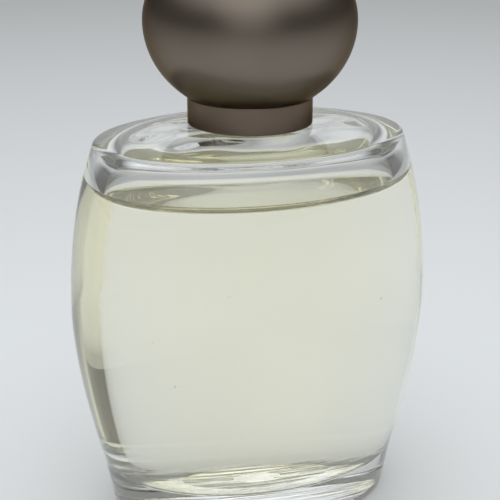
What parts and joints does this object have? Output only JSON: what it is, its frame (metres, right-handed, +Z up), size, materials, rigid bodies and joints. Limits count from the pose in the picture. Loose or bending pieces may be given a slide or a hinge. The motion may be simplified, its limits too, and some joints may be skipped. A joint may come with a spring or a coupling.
{
  "type": "aftershave bottle",
  "caption": "Oval heavy-based clear glass splash bottle of pale aftershave with a satin pewter ball cap that unscrews.",
  "frame": {"origin": "centre of the oval base, on the surface that the bottle stands on", "axes": "+Z up through the neck and the cap; +X along the bottle's width; +Y along its depth"},
  "size_m": [0.0716, 0.0502, 0.1132],
  "materials": {
    "flint_glass": "gloss",
    "aftershave": "gloss",
    "plug_plastic": "satin",
    "ball_metal": "satin",
    "collar_metal": "satin",
    "liner_plastic": "satin",
    "disc_foam": "matte"
  },
  "bodies": {
    "bottle": {"glass_bottle": "flint_glass", "aftershave_liquid": "aftershave", "pour_plug": "plug_plastic"},
    "seal": {"sealing_disc": "disc_foam"},
    "cap": {"cap_ball_shell": "ball_metal", "cap_collar": "collar_metal", "cap_liner": "liner_plastic"}
  },
  "joints": [
    {"name": "cap_rise", "type": "slide", "parent": "bottle", "child": "seal", "axis": [0, 0, 1], "range_m": [0, 0.0128]},
    {"name": "cap_turn", "type": "hinge", "parent": "seal", "child": "cap", "pos_m": [0, 0, 0.087], "axis": [0, 0, 1], "range_deg": [0, 1440]}
  ],
  "couplings": [
    {"joint": "cap_rise", "follows": "cap_turn", "m_per_rad": 0.00050532}
  ]
}
